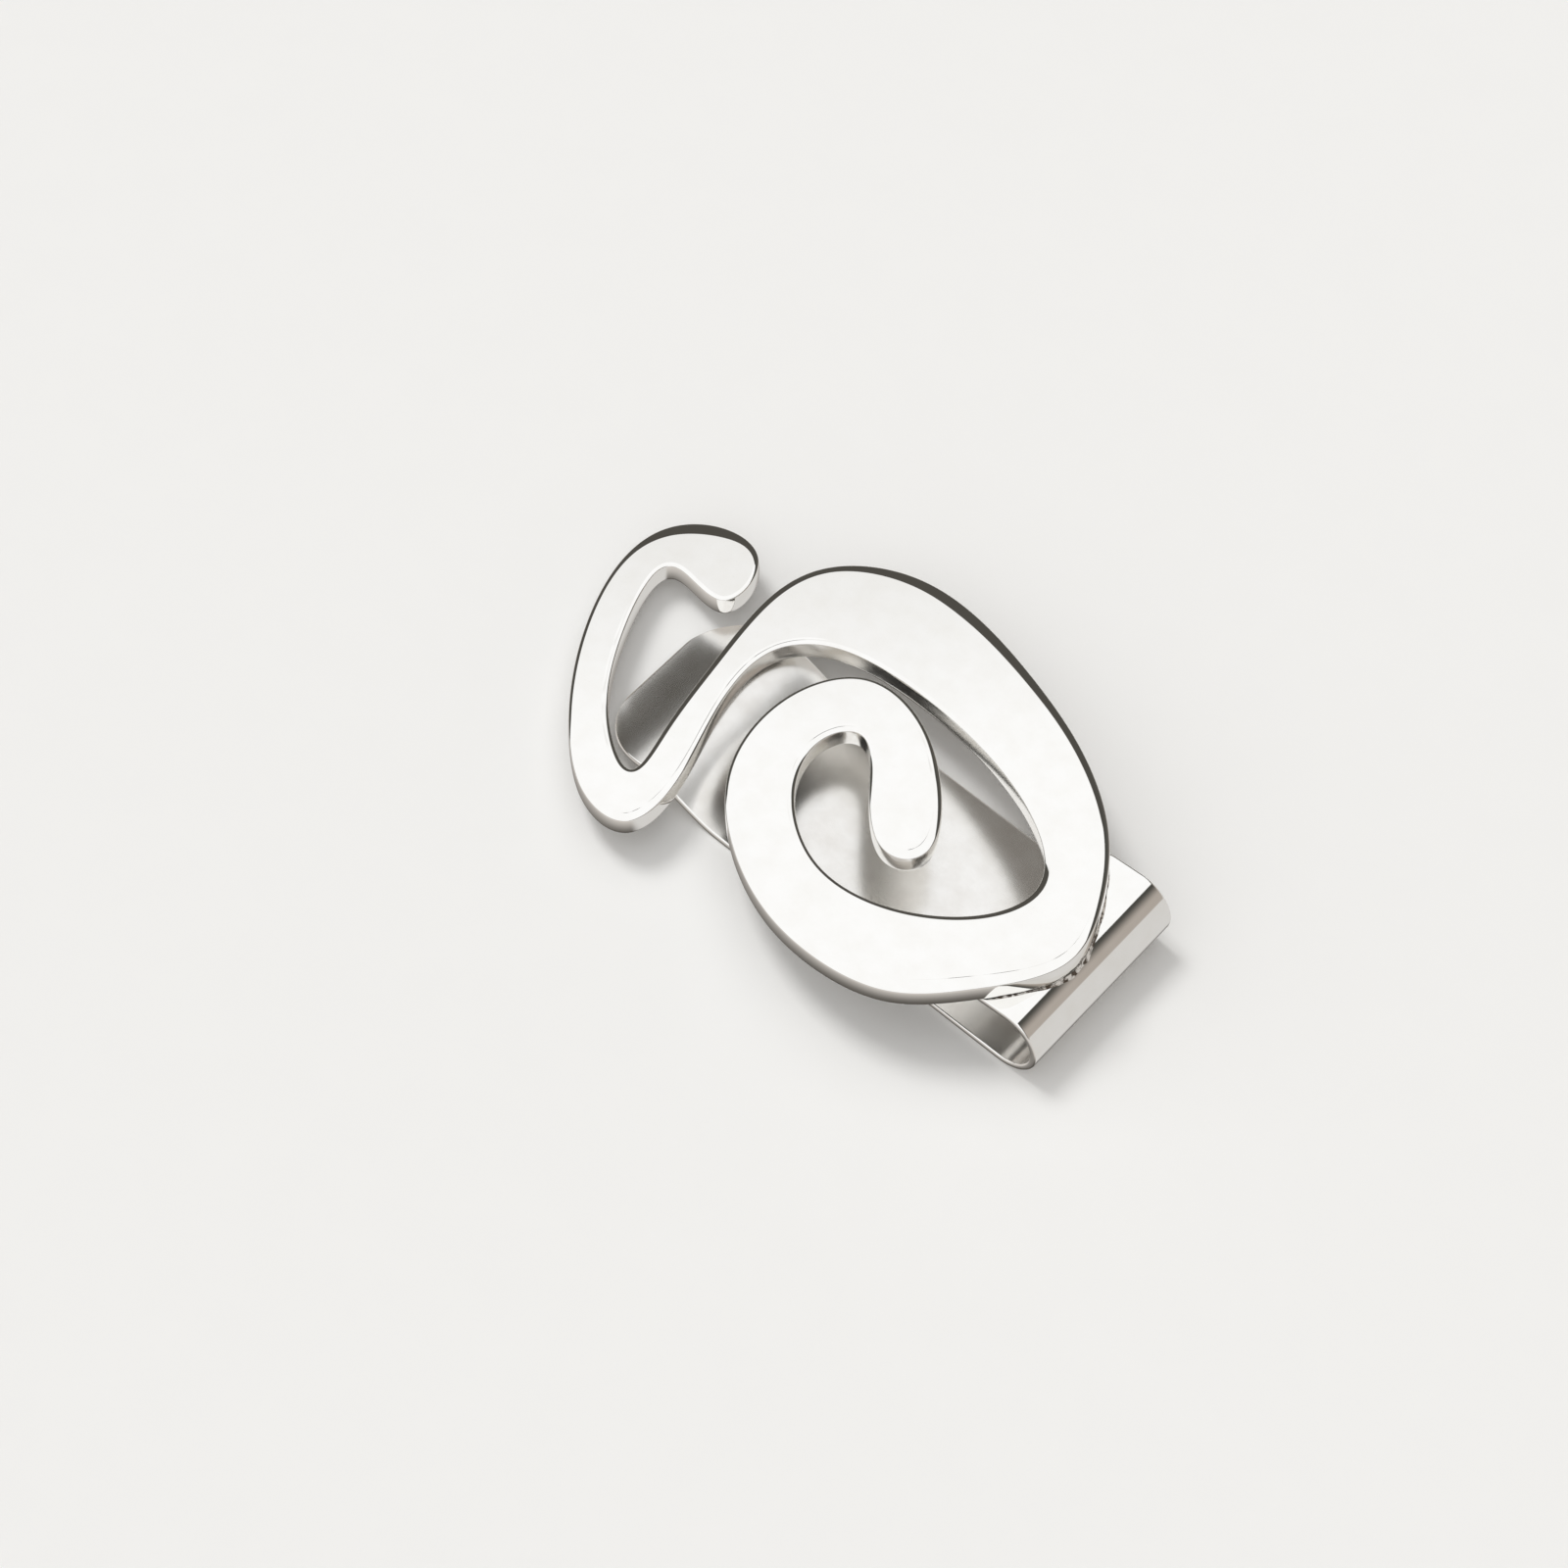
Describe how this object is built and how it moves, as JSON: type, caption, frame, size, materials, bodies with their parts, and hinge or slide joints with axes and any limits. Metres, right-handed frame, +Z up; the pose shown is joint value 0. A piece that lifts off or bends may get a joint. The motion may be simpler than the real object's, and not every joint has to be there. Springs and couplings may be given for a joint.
{
  "type": "money clip",
  "caption": "Money clip: a polished serpentine plate hard-soldered to a spring band that is bent round at one end and holds folded banknotes against its back leg.",
  "frame": {"origin": "on the surface the clip lies on, under the middle of its bounding box", "axes": "+X from the mouth to the bend, +Y along the bend's axis, +Z up from the back leg to the front plate"},
  "size_m": [0.0682, 0.0434, 0.0109],
  "materials": {
    "polished_silver": "mirror-polished sterling silver",
    "silver_solder": "hard silver solder, as run and lightly cleaned"
  },
  "bodies": {
    "back_leg": {"back_band": "polished_silver"},
    "front_jaw": {"serpentine_plate": "polished_silver", "front_band": "polished_silver", "solder_bead": "silver_solder"}
  },
  "joints": [
    {"name": "jaw_flex", "type": "hinge", "parent": "back_leg", "child": "front_jaw", "pos_m": [0.03242, -0.00265, 0.00415], "axis": [0, 1, 0], "range_deg": [0, 9], "stiffness_Nm_per_rad": 1.8}
  ]
}
